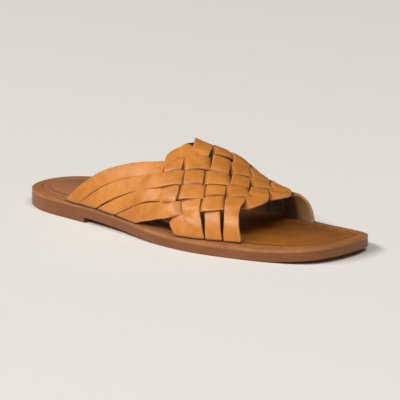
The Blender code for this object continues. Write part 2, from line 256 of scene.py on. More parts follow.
# ---- Sole outline ------------------------------------------------------------------------------
def sole_under(x):
    """Height of the outsole's lower face over the floor."""
    lift = HEEL_LIFT * (1.0 - ease((x - HEEL_BREAST) / (WAIST_END - HEEL_BREAST)))
    spring = TOE_SPRING * np.maximum(0.0, (x - SPRING_START) / (LENGTH - SPRING_START)) ** 2
    return lift + spring


OUTLINE_POINTS = 1200
OUTLINE_STEPS = 40  # between two rows of the table
LAST_STEPS = 12
TINY = 0.05  # a loop that is taken in may come this much too near to the outline


def even_loop(loop, points):
    """A closed curve as this many evenly spaced points."""
    loop = np.vstack([loop, loop[:1]])
    lengths = lengths_along(loop)
    return resample(loop, lengths, np.linspace(0.0, lengths[-1], points, endpoint=False))


def sole_loop(points, inset=0.0):
    """The sole's outline as evenly spaced points, taken in by inset."""
    lateral = [(row.x, -row.lateral) for row in SOLE_ROWS]
    medial = [(row.x, row.medial) for row in SOLE_ROWS]
    loop = smooth([(0.0, 0.0)] + lateral + [TOE_TIP] + medial[::-1], OUTLINE_STEPS, closed=True)
    loop = even_loop(loop, OUTLINE_POINTS)
    way = np.roll(loop, -1, axis=0) - np.roll(loop, 1, axis=0)
    way /= np.linalg.norm(way, axis=1)[:, None]
    moved = loop + inset * np.column_stack([-way[:, 1], way[:, 0]])
    if inset:  # drops what folds over itself in a narrow bend
        moved = moved[[np.hypot(*(loop - spot).T).min() > inset - TINY for spot in moved]]
    return even_loop(moved, points)


OUTLINE = sole_loop(OUTLINE_POINTS)
CENTRE = np.array([*(OUTLINE.min(axis=0) + OUTLINE.max(axis=0)) / 2, 0.0])


# ---- Straps on the last ------------------------------------------------------------------------
LAST_CURVES = {
    column: smooth([(row.x, getattr(row, column)) for row in LAST_ROWS], LAST_STEPS)
    for column in LastRow._fields[1:]
}


def last_value(column, x):
    curve = LAST_CURVES[column]
    return np.interp(x, curve[:, 0], curve[:, 1])


def last_sections(x, side):
    """For arrays of x and of sides: the sections from the ridge down, as y, z and lengths."""
    outer = side < 0
    foot = np.where(outer, -last_value("foot_lateral", x), last_value("foot_medial", x))
    full = np.where(outer, last_value("full_lateral", x), last_value("full_medial", x))
    ridge, height = last_value("ridge", x), last_value("height", x)
    base = sole_under(x) + INSOLE_TOP + GAP
    t = np.linspace(0.0, 1.0, SECTION_STEPS)
    near_top, near_foot = 3 * (1 - t) ** 2 * t, 3 * (1 - t) * t**2
    top, low = (1 - t) ** 3 + near_top, near_foot + t**3
    reach = (foot - ridge)[:, None]
    y = ridge[:, None] + reach * (full[:, None] * near_top + low)
    z = base[:, None] + height[:, None] * (top + full[:, None] * near_foot)
    steps = np.hypot(np.diff(y, axis=1), np.diff(z, axis=1))
    lengths = np.concatenate([np.zeros((len(x), 1)), np.cumsum(steps, axis=1)], axis=1)
    return y, z, lengths


def last_points(x, s):
    """Points of the last at x, the length s over the section from the ridge (medial is +)."""
    x, s = np.atleast_1d(x).astype(float), np.atleast_1d(s).astype(float)
    y, z, lengths = last_sections(x, s)
    a = np.abs(s)
    k = np.clip((lengths < a[:, None]).sum(axis=1), 1, SECTION_STEPS - 1)
    rows = np.arange(len(x))
    before, after = lengths[rows, k - 1], lengths[rows, k]
    share = np.clip((a - before) / (after - before), 0.0, 1.0)
    blend = [c[rows, k - 1] * (1 - share) + c[rows, k] * share for c in (y, z)]
    return np.column_stack([x, blend[0], blend[1] - np.maximum(0.0, a - lengths[:, -1])])


def last_frames(x, s):
    """The points, and the last's two tangents and outward normals there."""
    step = 0.5
    along_x = (last_points(x + step, s) - last_points(x - step, s)) / (2 * step)
    along_s = (last_points(x, s + step) - last_points(x, s - step)) / (2 * step)
    normal = np.cross(along_x, along_s)
    return last_points(x, s), along_x, along_s, normal / np.linalg.norm(normal, axis=1)[:, None]


def grid_point(u, v):
    off, fore = u - CROSS_MID[0], v - CROSS_MID[1]
    x = CROSS_X + CROSS_DX * fore + CROSS_SKEW * off + (CROSS_BOW + CROSS_FAN * fore) * off * off
    rear = max(0.0, -fore - 1.0)
    s = (CROSS_DS - CROSS_NARROW * abs(off)) * off * (1.0 + REAR_SPREAD * rear) + REAR_SHIFT * rear
    drop = CROSS_DROP[int(off > 0)] * max(0.0, 2.0 * abs(off) - 4.0)
    return np.array([x, s + math.copysign(drop, off)])


def cell_point(i, j):
    fore = i + RUN_SHIFT["R"].get(i, 0.0)
    aside = j + RUN_SHIFT["C"].get(j, 0.0) + SPOT_SHIFT.get((i, j), 0.0)
    return grid_point((aside - fore + 4) / 2, (fore + aside) / 2)


FOOT_SINK, HIGH_SINK = 0.3, 1.6  # a leg's sink at its foot and at its high point, as shares


def leg_points(leg, side):
    """(x, s, lift, width) from below the foot up to the high point."""
    lean = (leg.low[0] - leg.foot) / leg.low[1]
    stops = (
        (leg.foot - lean * FOOT_DIP, -FOOT_DIP, 0.0, leg.foot_width),
        (leg.foot, 0.0, -FOOT_SINK * leg.sink, leg.foot_width),
        (*leg.low, -leg.sink, leg.width),
        (*leg.high, -HIGH_SINK * leg.sink, leg.width),
    )
    made = []
    for x, rise, lift, width in stops:
        girth = last_sections(np.array([x]), np.array([side]))[2][0, -1]
        made.append((x, side * (girth - rise), lift, width))
    return made


def strap_width(run, s):
    return RUN_WIDTH[run] - RUN_NARROW[run] * abs(s)


def run_at(cells, n):
    """"R" where the strap goes on to higher C numbers at its crossing n, or else "C"."""
    before, after = cells[max(n - 1, 0)], cells[min(n + 1, len(cells) - 1)]
    return "R" if after[1] > before[1] else "C"


def strap_path(strap, steps):
    """(x, s, lift, width) along a strap: lift is 1 where it lies over another, -1 under.

    Gives the crossings where it lies under too, as (row of the path, half the other's width).
    """
    points = leg_points(strap.lateral_leg, -1)
    tucks = []
    for n, (i, j) in enumerate(strap.cells):
        place = cell_point(i, j)
        run = run_at(strap.cells, n)
        width = strap_width(run, place[1])
        if i + j in TURN_ROUND:
            sides = [cell_point(*strap.cells[k]) for k in (n - 1, n + 1)]
            inwards = (sides[0] + sides[1]) / 2 - place
            place = place + TURN_ROUND[i + j] * inwards
            swells = zip(sides, TURN_SWELL[i + j])
            before, after = ((place + side) / 2 - swell * inwards for side, swell in swells)
            points += [(*spot, 0.0, width) for spot in (before, place, after)]
        else:
            over = (i + j) % 2 == (run == "C")
            if not over:
                tucks.append((len(points) * steps, strap_width("RC"[run == "R"], place[1]) / 2))
            points.append((*place, 1.0 if over else -1.0, width))
    return smooth(points + leg_points(strap.medial_leg, 1)[::-1], steps), tucks


Crease = namedtuple("Crease", "strap start end wide deep")
CREASES = [  # soft troughs and, where deep is below zero, ridges: from and to (x, s) on the last
    Crease("C0", (133.5, -23.5), (141.5, -15.5), 1.5, 0.35),
    Crease("C0", (126.5, -22.5), (131.5, -16.5), 2.2, -0.25),
    Crease("C0", (158.0, -62.5), (167.0, -60.5), 2.4, -0.22),
    Crease("C1", (168.0, -50.5), (178.0, -49.0), 2.0, 0.25),
    Crease("R4", (141.0, -63.5), (147.5, -54.0), 1.9, 0.18),
    Crease("R4", (149.5, -60.5), (153.5, -52.0), 1.6, -0.12),
    Crease("R4", (180.0, -36.0), (187.0, -31.5), 1.5, 0.16),
    Crease("R3", (128.0, -56.5), (133.5, -48.0), 2.2, 0.22),
    Crease("R3", (158.0, -41.5), (164.5, -36.5), 1.7, 0.18),
    Crease("R2", (118.0, -48.0), (124.5, -38.5), 2.4, 0.22),
    Crease("R2", (146.0, -38.5), (150.5, -29.5), 1.8, -0.15),
    Crease("R1", (108.0, -34.0), (115.0, -25.0), 2.6, 0.2),
    Crease("C2", (184.5, -41.0), (190.5, -38.5), 1.9, 0.18),
    Crease("C3", (196.0, -36.5), (203.0, -34.5), 2.0, 0.2),
    Crease("R3", (205.0, -6.0), (210.0, 3.5), 1.7, 0.2),
    Crease("R4", (203.0, -18.0), (208.5, -11.0), 1.7, 0.2),
]
CREASE_RIM = 0.6  # how strongly a crease's rims stand out


def crease_rise(name, x, s):
    """How far a strap's creases lift it at arrays of points on the last."""
    rise = np.zeros(len(x))
    for crease in CREASES:
        if crease.strap == name:
            start, way = np.array(crease.start), np.subtract(crease.end, crease.start)
            spots = np.column_stack([x, s]) - start
            share = np.clip(spots @ way / (way @ way), 0.0, 1.0)
            gap = np.linalg.norm(spots - share[:, None] * way, axis=1) / crease.wide
            rise -= crease.deep * (1.0 - CREASE_RIM * gap**2) * np.exp(-(gap**2))
    return rise


PATH_STEPS = 12  # between two crossings
STATION = 1.1  # between the cross sections of a strap
STEEP = 1.6  # how sharply a strap goes down from over to under
TUCK_SHADE_REACH = 2.5  # painted shade darkens a strap this near to another that it goes under
Line = namedtuple("Line", "lengths x s lift width across_x across_s tuck")


def strap_line(strap):
    """The strap's middle line in even steps, with the way across it on the last."""
    path, tucks = strap_path(strap, PATH_STEPS)
    lengths = lengths_along(last_points(path[:, 0], path[:, 1]))
    even = np.linspace(0.0, lengths[-1], math.ceil(lengths[-1] / STATION) + 1)
    x, s, lift, width = resample(path, lengths, even).T
    _, along_x, along_s, normal = last_frames(x, s)
    way = np.gradient(x)[:, None] * along_x + np.gradient(s)[:, None] * along_s
    side = np.cross(normal, way)
    side /= np.linalg.norm(side, axis=1)[:, None]
    xx, ss = (along_x * along_x).sum(axis=1), (along_s * along_s).sum(axis=1)
    xs = (along_x * along_s).sum(axis=1)
    bx, bs = (side * along_x).sum(axis=1), (side * along_s).sum(axis=1)
    span = xx * ss - xs * xs
    lift = np.sin(np.clip(STEEP * lift, -1.0, 1.0) * math.pi / 2)
    # mask of painted shade: full within a crossing that the strap goes under, fading beyond its edge
    nearest = [np.abs(even - lengths[row]) - half for row, half in tucks]
    tuck_shade_mask = np.clip(1.0 - np.min(nearest, axis=0) / TUCK_SHADE_REACH, 0.0, 1.0)
    across_x, across_s = (bx * ss - bs * xs) / span, (bs * xx - bx * xs) / span
    return Line(even, x, s, lift, width, across_x, across_s, tuck_shade_mask)


# ---- Meshes ------------------------------------------------------------------------------------
def to_metres(bm):
    bmesh.ops.translate(bm, vec=-Vector(CENTRE), verts=bm.verts)
    bmesh.ops.scale(bm, vec=(MM, MM, MM), verts=bm.verts)


def finish_piece(name, bm, materials, nodes, sharp_deg=35.0):
    """Makes the piece's object from its bmesh, which is in millimetres from the heel."""
    to_metres(bm)
    bmesh.ops.recalc_face_normals(bm, faces=bm.faces)
    mesh = bpy.data.meshes.new(name)
    bm.to_mesh(mesh)
    bm.free()
    mesh.shade_smooth()
    mesh.set_sharp_from_angle(angle=math.radians(sharp_deg))
    for made in materials:
        mesh.materials.append(made)
    piece = bpy.data.objects.new(name, mesh)
    bpy.context.scene.collection.objects.link(piece)
    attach(piece, "root")
    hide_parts(*nodes)
    return piece


RIM_ANGLE = math.radians(60)
NEAR = 0.01  # two heights that differ by less are the same


def is_rim(edge):
    return len(edge.link_faces) == 2 and edge.calc_face_angle() > RIM_ANGLE


def round_rims(bm, radius, pick):
    """Rounds the edges between two faces that turn sharply, where pick says so."""
    bmesh.ops.bevel(
        bm,
        geom=[edge for edge in bm.edges if is_rim(edge) and pick(edge)],
        offset=radius,
        offset_type="OFFSET",
        affect="EDGES",
        segments=3,
        profile=0.5,
        material=-1,
        clamp_overlap=True,
    )


def all_of(bm):
    return bm.verts[:] + bm.edges[:] + bm.faces[:]


def lift_to_sole(bm):
    for vert in bm.verts:
        vert.co.z += float(sole_under(vert.co.x))


BEND_STEP = 6.0


def bend_to_sole(bm):
    """Cuts a flat sole layer across every few millimetres and bends it to the heel and toe."""
    for k in range(1, int(LENGTH / BEND_STEP) + 1):
        spot = (k * BEND_STEP, 0, 0)
        bmesh.ops.bisect_plane(bm, geom=all_of(bm), dist=1e-5, plane_co=spot, plane_no=(1, 0, 0))
    lift_to_sole(bm)


def kind_of(geom, kind):
    return [g for g in geom if isinstance(g, kind)]


def thicken(bm, height):
    """Raises a copy of a flat sheet and closes the sides."""
    raised = bmesh.ops.extrude_face_region(bm, geom=bm.faces[:], use_keep_orig=True)
    moved = kind_of(raised["geom"], bmesh.types.BMVert)
    bmesh.ops.translate(bm, vec=(0.0, 0.0, height), verts=moved)


def slab(loop, low, high):
    """A flat plate over an outline."""
    bm = bmesh.new()
    made = bmesh.ops.create_circle(bm, cap_ends=True, segments=len(loop), radius=1.0)
    for vert, (x, y) in zip(made["verts"], loop):
        vert.co = (x, y, low)
    thicken(bm, high - low)
    bmesh.ops.recalc_face_normals(bm, faces=bm.faces)
    return bm


def rings(points, profile):
    """A surface from loops round the sole, and its first and last edges.

    profile: (inset, height) of each loop.
    """
    bm = bmesh.new()
    made = bmesh.ops.create_circle(bm, cap_ends=False, segments=points, radius=1.0)
    verts, edges = made["verts"], bm.edges[:]
    first = edges
    for n, (inset, height) in enumerate(profile):
        if n:
            made = bmesh.ops.extrude_edge_only(bm, edges=edges)
            new = set(kind_of(made["geom"], bmesh.types.BMVert))
            edges = kind_of(made["geom"], bmesh.types.BMEdge)
            order = {round_key(v): k for k, v in enumerate(verts)}
            verts = sorted(new, key=lambda v: order[round_key(v)])
            edges = [e for e in edges if new.issuperset(e.verts)]
        for vert, (x, y) in zip(verts, sole_loop(points, inset)):
            vert.co = (x, y, height)
    return bm, first, edges


def round_key(vert):
    return tuple(round(c, 6) for c in vert.co)


# ---- Materials ---------------------------------------------------------------------------------
class Wire:
    """A socket of a material's graph that Python's arithmetic works on."""

    def __init__(self, graph, socket):
        self.graph = graph
        self.socket = socket

    def __add__(self, other):
        return self.graph.maths("ADD", self, other)

    def __mul__(self, other):
        return self.graph.maths("MULTIPLY", self, other)


class Graph:
    """The nodes of one material."""

    def __init__(self, name):
        self.material = bpy.data.materials.new(name)
        self.material.use_nodes = True
        self.tree = self.material.node_tree
        self.shader = self.tree.nodes["Principled BSDF"]

    def feed(self, socket, value):
        if isinstance(value, Wire):
            self.tree.links.new(value.socket, socket)
        else:
            socket.default_value = value

    def node(self, kind, settings=(), inputs=(), out=0):
        """Adds a node: its settings first, then the values or wires of its sockets."""
        made = self.tree.nodes.new(kind)
        for name, value in dict(settings).items():
            setattr(made, name, value)
        for key, value in dict(inputs).items():
            self.feed(made.inputs[key], value)
        return Wire(self, made.outputs[out])

    def maths(self, operation, a, b):
        return self.node("ShaderNodeMath", {"operation": operation}, {0: a, 1: b})

    def colour(self, factor, a, b):
        """Colour a where the factor is 0, b where it is 1."""
        a, b = (c if isinstance(c, Wire) else (*c, 1.0) for c in (a, b))
        settings = {"data_type": "RGBA", "clamp_factor": True}
        return self.node("ShaderNodeMix", settings, {0: factor, 6: a, 7: b}, out=2)

    def place(self, scale=(1.0, 1.0, 1.0)):
        """Object coordinates, stretched."""
        spot = self.node("ShaderNodeTexCoord", out="Object")
        return self.node("ShaderNodeMapping", inputs={"Vector": spot, "Scale": scale})

    def noise(self, where, scale, detail=4.0, rough=0.55):
        inputs = {"Vector": where, "Scale": scale, "Detail": detail, "Roughness": rough}
        return self.node("ShaderNodeTexNoise", inputs=inputs)

    def cells(self, where, scale):
        return self.node("ShaderNodeTexVoronoi", inputs={"Vector": where, "Scale": scale})

    def span(self, value, low, high, to_low=0.0, to_high=1.0):
        """The value's range from low to high mapped smoothly on another."""
        inputs = {0: value, 1: low, 2: high, 3: to_low, 4: to_high}
        return self.node("ShaderNodeMapRange", {"interpolation_type": "SMOOTHSTEP"}, inputs)

    def tones(self, value, low, high, deep, light):
        """The deep colour where the value is low, the light one where it is high."""
        return self.colour(self.span(value, low, high), deep, light)

    def along(self, where):
        """The x of coordinates: metres from the middle of the sole towards the toe."""
        return self.node("ShaderNodeSeparateXYZ", inputs={0: where})

    def attribute(self, name):
        return self.node("ShaderNodeAttribute", {"attribute_name": name}, out="Fac")

    def bump(self, height, strength, distance):
        inputs = {"Height": height, "Strength": strength, "Distance": distance}
        self.feed(self.shader.inputs["Normal"], self.node("ShaderNodeBump", inputs=inputs))

    def set(self, **values):
        """Sets sockets of the shader; an underscore stands for a space."""
        for name, value in values.items():
            self.feed(self.shader.inputs[name.replace("_", " ")], value)


SEAM_SHADE = (0.8, 2.2)  # painted shade along a strap's foot: darkest up to the first height over its cut, then fading
EDGE_MIX, TUCK_SHADE_MIX = 0.4, 0.95  # the shares of colour of the cut edge and of the painted shade


def strap_leather(look):
    """Smooth calf with fine pores: paler on its cut edges, with painted shade where a strap goes
    under another and along its foot.
    """
    g = Graph("strap_leather")
    solid = g.place()
    cloud = g.noise(solid, 42.0, 3.0)
    mottle = g.noise(solid, 190.0, 4.0, 0.6)
    pores = g.cells(solid, 1500.0)
    grain = g.noise(solid, 2400.0, 3.0, 0.6)
    across, under = g.attribute("across"), g.attribute("under")
    base = g.tones(cloud * 0.65 + mottle * 0.35, 0.36, 0.64, look.deep, look.light)
    cut = g.span(across, 0.9, 1.0)
    base = g.colour(cut * EDGE_MIX, base, look.edge)
    # painted shade where the strap goes under another
    base = g.colour(g.span(under, 0.1, 1.0) * TUCK_SHADE_MIX, base, look.painted_shade)
    # painted shade along the strap's foot at the welt
    base = g.colour(g.span(g.attribute("above"), *SEAM_SHADE, 1.0, 0.0), base, look.painted_shade)
    rough = g.span(mottle + cut * 0.2, 0.3, 0.75, look.roughness, look.roughness + 0.16)
    g.set(Base_Color=base, Roughness=rough, Specular_IOR_Level=0.42)
    g.bump(g.span(pores, 0.0, 0.5) * 0.6 + grain * 0.4 + mottle * 0.8, 0.22, 0.00025)
    return g.material


LINING_FADE = (0.056, 0.064)  # painted shade: the lining goes from dark to pale between these places along
LINING_MIX = 0.8


def flesh_side(look):
    """The straps' suede back, with painted shade that darkens it behind the front legs."""
    g = Graph("strap_lining")
    solid = g.place()
    nap = g.noise(solid, 1300.0, 5.0, 0.7)
    cloud = g.noise(solid, 90.0, 3.0)
    base = g.tones(cloud * 0.6 + nap * 0.4, 0.35, 0.65, look.lining_deep, look.lining)
    # painted shade over the lining behind the front legs
    base = g.colour(g.span(g.along(solid), *LINING_FADE, LINING_MIX, 0.0), base, look.lining_shade)
    rough = g.span(nap, 0.3, 0.7, 0.75, 0.92)
    g.set(Base_Color=base, Roughness=rough, Specular_IOR_Level=0.2)
    g.bump(nap, 0.35, 0.0003)
    return g.material


HEEL_SHEEN = (-0.085, -0.025)  # the insole goes from a painted pale sheen at the heel to its own tone between these places along
HEEL_SHEEN_MIX = 0.75


def insole_leather(look):
    """Polished brown leather, with a painted pale sheen at the heel."""
    g = Graph("insole_leather")
    solid = g.place()
    cloud = g.noise(solid, 22.0, 3.0, 0.5)
    mottle = g.noise(solid, 140.0, 4.0, 0.6)
    pores = g.cells(solid, 1400.0)
    base = g.tones(cloud * 0.6 + mottle * 0.4, 0.36, 0.64, look.insole_deep, look.insole)
    # painted sheen at the heel
    sheen = g.span(g.along(solid) + cloud * 0.03, *HEEL_SHEEN, HEEL_SHEEN_MIX, 0.0)
    base = g.colour(sheen, base, look.insole_sheen)
    rough = g.span(mottle, 0.3, 0.7, 0.36, 0.5)
    g.set(Base_Color=base, Roughness=rough, Specular_IOR_Level=0.45)
    g.bump(g.span(pores, 0.0, 0.5) * 0.5 + mottle, 0.15, 0.0003)
    return g.material


def welt_leather(look):
    """Natural tan leather."""
    g = Graph("welt_leather")
    solid = g.place()
    cloud = g.noise(solid, 60.0, 3.0)
    fibre = g.noise(solid, 900.0, 4.0, 0.65)
    base = g.tones(cloud * 0.7 + fibre * 0.3, 0.36, 0.64, look.welt_deep, look.welt)
    rough = g.span(fibre, 0.3, 0.7, 0.36, 0.5)
    g.set(Base_Color=base, Roughness=rough, Specular_IOR_Level=0.5)
    g.bump(fibre, 0.2, 0.00025)
    return g.material


def sole_leather(look):
    """The burnished edge of sole leather: fibres lie in level streaks."""
    g = Graph("sole_leather")
    streak = g.noise(g.place((40.0, 40.0, 900.0)), 1.0, 4.0, 0.6)
    fine = g.noise(g.place((120.0, 120.0, 2600.0)), 1.0, 3.0, 0.6)
    cloud = g.noise(g.place(), 35.0, 3.0)
    mixed = streak * 0.5 + fine * 0.2 + cloud * 0.3
    base = g.tones(mixed, 0.34, 0.66, look.side_deep, look.side)
    rough = g.span(streak, 0.3, 0.7, 0.38, 0.55)
    g.set(Base_Color=base, Roughness=rough, Specular_IOR_Level=0.45)
    g.bump(streak * 0.6 + fine * 0.4, 0.25, 0.0002)
    return g.material


# ---- Settings ----------------------------------------------------------------------------------
def number(name, description, default, **more):
    return bpy.props.FloatProperty(name=name, description=description, default=default, **more)


def length(name, description, default):
    more = {"min": 0.0, "subtype": "DISTANCE", "unit": "LENGTH", "precision": 5}
    return number(name, description, default, **more)


def angle(name, description, degrees):
    default = math.radians(degrees)
    return number(name, description, default, subtype="ANGLE", unit="ROTATION")


def paint(name, description, default):
    more = {"min": 0.0, "max": 1.0, "size": 3, "subtype": "COLOR"}
    return bpy.props.FloatVectorProperty(
        name=name, description=description, default=default, **more
    )


class SandalStraps(bpy.types.PropertyGroup):
    """Sizes and colours of the straps"""

    thickness: length("Thickness", "Thickness of the strap leather", 0.0016)
    edge_round: length("Edge round", "Radius of the rounded cut edges", 0.00038)
    crown: length("Crown", "How much a strap's edges lie lower than its middle", 0.00025)
    lift: length("Lift", "How far a strap rises over another, and sinks under it", 0.001)
    light: paint("Light tan", "The leather's lighter tone", (0.70, 0.262, 0.047))
    deep: paint("Deep tan", "The leather's deeper tone", (0.55, 0.184, 0.027))
    edge: paint("Cut edge", "The paler cut edge", (0.80, 0.44, 0.18))
    # painted shade: the colour laid where a strap goes under another and along its foot
    painted_shade: paint("Painted shade", "Where a strap goes under another", (0.06, 0.018, 0.005))
    lining: paint("Lining", "The suede side", (0.90, 0.64, 0.36))
    lining_deep: paint("Deep lining", "The suede side's deeper tone", (0.78, 0.53, 0.28))
    # painted shade for the suede side under the plait
    lining_shade: paint("Dark lining", "The suede side under the plait", (0.09, 0.045, 0.018))
    roughness: number("Roughness", "Roughness of the polished grain", 0.30, min=0.0, max=1.0)


class SandalSole(bpy.types.PropertyGroup):
    """Sizes and colours of the sole's layers"""

    edge_round: length("Edge round", "Radius of the layers' edges", 0.0004)
    line_inset: length("Line inset", "From the insole's edge to its pressed line", 0.0048)
    line_width: length("Line width", "Width of the pressed line", 0.0011)
    line_depth: length("Line depth", "Depth of the pressed line", 0.0004)
    mark_pitch: length("Mark pitch", "Between the wheel marks on the welt", 0.0016)
    mark_depth: length("Mark depth", "Depth of the wheel marks", 0.00012)
    insole: paint("Insole", "The insole's lighter tone", (0.36, 0.122, 0.018))
    insole_deep: paint("Deep insole", "The insole's deeper tone", (0.29, 0.09, 0.010))
    # painted sheen on the insole at the heel
    insole_sheen: paint("Insole sheen", "The insole's tone at the heel", (0.42, 0.17, 0.085))
    welt: paint("Welt", "The welt's lighter tone", (0.44, 0.18, 0.06))
    welt_deep: paint("Deep welt", "The welt's deeper tone", (0.34, 0.12, 0.035))
    side: paint("Side", "The sole layers' lighter tone", (0.29, 0.098, 0.028))
    side_deep: paint("Deep side", "The sole layers' deeper tone", (0.21, 0.067, 0.018))


class SandalStage(bpy.types.PropertyGroup):
    """Floor, light and camera"""

    floor: paint("Floor", "Colour of the floor", (0.86, 0.83, 0.775))
    surround: paint("Surround", "Colour of the light all round", (1.0, 0.955, 0.90))
    surround_strength: number("Surround strength", "Strength of the light all round", 0.06, min=0.0)
    key_power: number(
        "Key power",
        "Power of the soft box on the outer side",
        515.0,
        min=0.0,
        subtype="POWER",
        unit="POWER",
    )
    azimuth: angle("Azimuth", "Camera's angle from the outer side towards the toe", 42.5)
    elevation: angle("Elevation", "Camera's angle above the floor", 13.6)
    distance: length("Distance", "From the sandal to the camera", 2.559)
    share: number(
        "Share",
        "Share of the picture's width that the sandal takes",
        0.84,
        min=0.1,
        max=1.0,
        subtype="FACTOR",
    )


# ---- Pieces ------------------------------------------------------------------------------------
ACROSS = 8  # faces across a strap
CUT_REACH = 30.0  # the foot's cut reaches this far up a strap
FOOT_DEPTH = 0.3  # and lies this far under the welt's top


def runs_along(edge):
    """Whether an edge of a flat strip runs along it."""
    (_, y, z), (_, other_y, other_z) = (vert.co for vert in edge.verts)
    return max(abs(y - other_y), abs(z - other_z)) < NEAR


def flat_strap(long, wide, thick, edge_round):
    """A strip of leather: x along it, y across from its middle, z up through it."""
    bm = bmesh.new()
    bmesh.ops.create_grid(bm, x_segments=round(long / STATION), y_segments=ACROSS, size=0.5)
    bmesh.ops.scale(bm, vec=(long, wide, 1.0), verts=bm.verts)
    bmesh.ops.translate(bm, vec=(long / 2, 0.0, 0.0), verts=bm.verts)
    thicken(bm, thick)
    bmesh.ops.translate(bm, vec=(0.0, 0.0, -thick / 2), verts=bm.verts)
    bmesh.ops.recalc_face_normals(bm, faces=bm.faces)
    round_rims(bm, edge_round, runs_along)
    return bm


def lay_strap(bm, name, line, wide, look):
    """Bends the flat strip on the last along its line."""
    along, across, up = np.array([v.co for v in bm.verts]).T
    share = across / wide
    x, s, lift, width, dx, ds, tuck_shade_mask = (np.interp(along, line.lengths, column) for column in line[1:])
    offset = share * width
    points, _, _, normals = last_frames(x + offset * dx, s + offset * ds)
    rise = up + lift * look.lift / MM - 4.0 * share**2 * look.crown / MM
    rise += crease_rise(name, x + offset * dx, s + offset * ds)
    points = points + normals * rise[:, None]
    uv = bm.loops.layers.uv.new("strap")
    sides = bm.verts.layers.float.new("across")
    # under: how much painted shade the strap gets near the crossings it goes under
    under = bm.verts.layers.float.new("under")
    # height over the foot's cut, which places the painted shade at the foot
    above = bm.verts.layers.float.new("above")
    for face in bm.faces:
        face.material_index = int(face.normal.z < -0.5)
        for loop in face.loops:
            loop[uv].uv = (along[loop.vert.index] * MM, across[loop.vert.index] * MM)
    for n, vert in enumerate(bm.verts):
        vert.co = points[n]
        vert[sides] = abs(2.0 * share[n])
        vert[under] = tuck_shade_mask[n]
        vert[above] = CUT_REACH


def cut_foot(bm, x, y, near):
    """Cuts a strap off just under the welt's top at a foot. near: the faces by that foot."""
    side = math.copysign(1.0, y)
    slope = WELT_FALL / WELT_WIDTH
    fall = slope * (WELT_WIDTH - (abs(sole_edge(x, side)) - abs(y)))
    spot = Vector((x, y, float(sole_under(x)) + WELT_TOP - max(0.0, fall) - FOOT_DEPTH))
    tilt = float(sole_under(x + 1.0) - sole_under(x - 1.0)) / 2.0
    up = Vector((-tilt, side * slope, 1.0))
    verts = dict.fromkeys(v for face in near for v in face.verts)
    edges = dict.fromkeys(e for face in near for e in face.edges)
    geom = [*verts, *edges, *near]
    cut = bmesh.ops.bisect_plane(
        bm, geom=geom, dist=1e-4, plane_co=spot, plane_no=up, clear_inner=True
    )
    bmesh.ops.contextual_create(bm, geom=kind_of(cut["geom_cut"], bmesh.types.BMEdge))
    # heights over the cut, for the painted shade at the foot
    above = bm.verts.layers.float["above"]
    for vert in bm.verts:
        if vert.co.y * side > 0:
            vert[above] = min(vert[above], up.dot(vert.co - spot))


def sole_edge(x, side):
    """The outline's y at x on one side."""
    half = OUTLINE[OUTLINE[:, 1] * side > 0]
    return float(half[np.argmin(np.abs(half[:, 0] - x)), 1])


def make_strap(strap, look, materials):
    line = strap_line(strap)
    wide = float(line.width.mean())
    bm = flat_strap(line.lengths[-1], wide, look.thickness / MM, look.edge_round / MM)
    bm.verts.index_update()  # lay_strap reads the indices
    along = {f: f.calc_center_median().x for f in bm.faces}
    lay_strap(bm, strap.name, line, wide, look)
    ends = (
        (strap.lateral_leg, -1.0, "foot_lateral", 0.0),
        (strap.medial_leg, 1.0, "foot_medial", line.lengths[-1]),
    )
    for leg, side, column, end in ends:
        near = [f for f in bm.faces if f in along and abs(along[f] - end) < CUT_REACH]
        cut_foot(bm, leg.foot, side * float(last_value(column, leg.foot)), near)
    return finish_piece("strap_" + strap.name, bm, materials, ["upper"])


class SANDAL_OT_straps(bpy.types.Operator):
    """Plait the eight straps over the last"""

    bl_idname = "sandal.straps"
    bl_label = "Plait the Straps"

    def execute(self, context):
        look = context.scene.sandal_straps
        materials = [strap_leather(look), flesh_side(look)]
        for strap in STRAPS:
            make_strap(strap, look, materials)
        return {"FINISHED"}


INSOLE_POINTS = 720
GROOVE_SHOWN = 0.4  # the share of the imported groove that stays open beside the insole


def higher_than(height):
    """A test for edges that lie over a height."""
    return lambda edge: edge.verts[0].co.z > height


class SANDAL_OT_insole(bpy.types.Operator):
    """Make the insole with its pressed line"""

    bl_idname = "sandal.insole"
    bl_label = "Make the Insole"

    def execute(self, context):
        look = context.scene.sandal_sole
        rim = WELT_WIDTH + GROOVE_SHOWN * GROOVE
        line, half = rim + look.line_inset / MM, look.line_width / MM / 2
        profile = [
            (rim, MIDSOLE_TOP),
            (rim, INSOLE_TOP),
            (line, INSOLE_TOP),
            (line + half, INSOLE_TOP - look.line_depth / MM),
            (line + 2 * half, INSOLE_TOP),
        ]
        bm, under, field = rings(INSOLE_POINTS, profile)
        for edges in (under, field):
            bmesh.ops.contextual_create(bm, geom=edges)
        bmesh.ops.recalc_face_normals(bm, faces=bm.faces)
        round_rims(bm, 1.5 * look.edge_round / MM, higher_than(INSOLE_TOP - NEAR))
        bend_to_sole(bm)
        finish_piece("insole_board", bm, [insole_leather(look)], ["insole"], 60.0)
        return {"FINISHED"}


WELT_POINTS = 1320
MARKED_HEIGHT = 0.45  # the wheel marks reach this far down from the welt's outer top edge
MARKED_WIDTH = 1.7  # and this far in from it


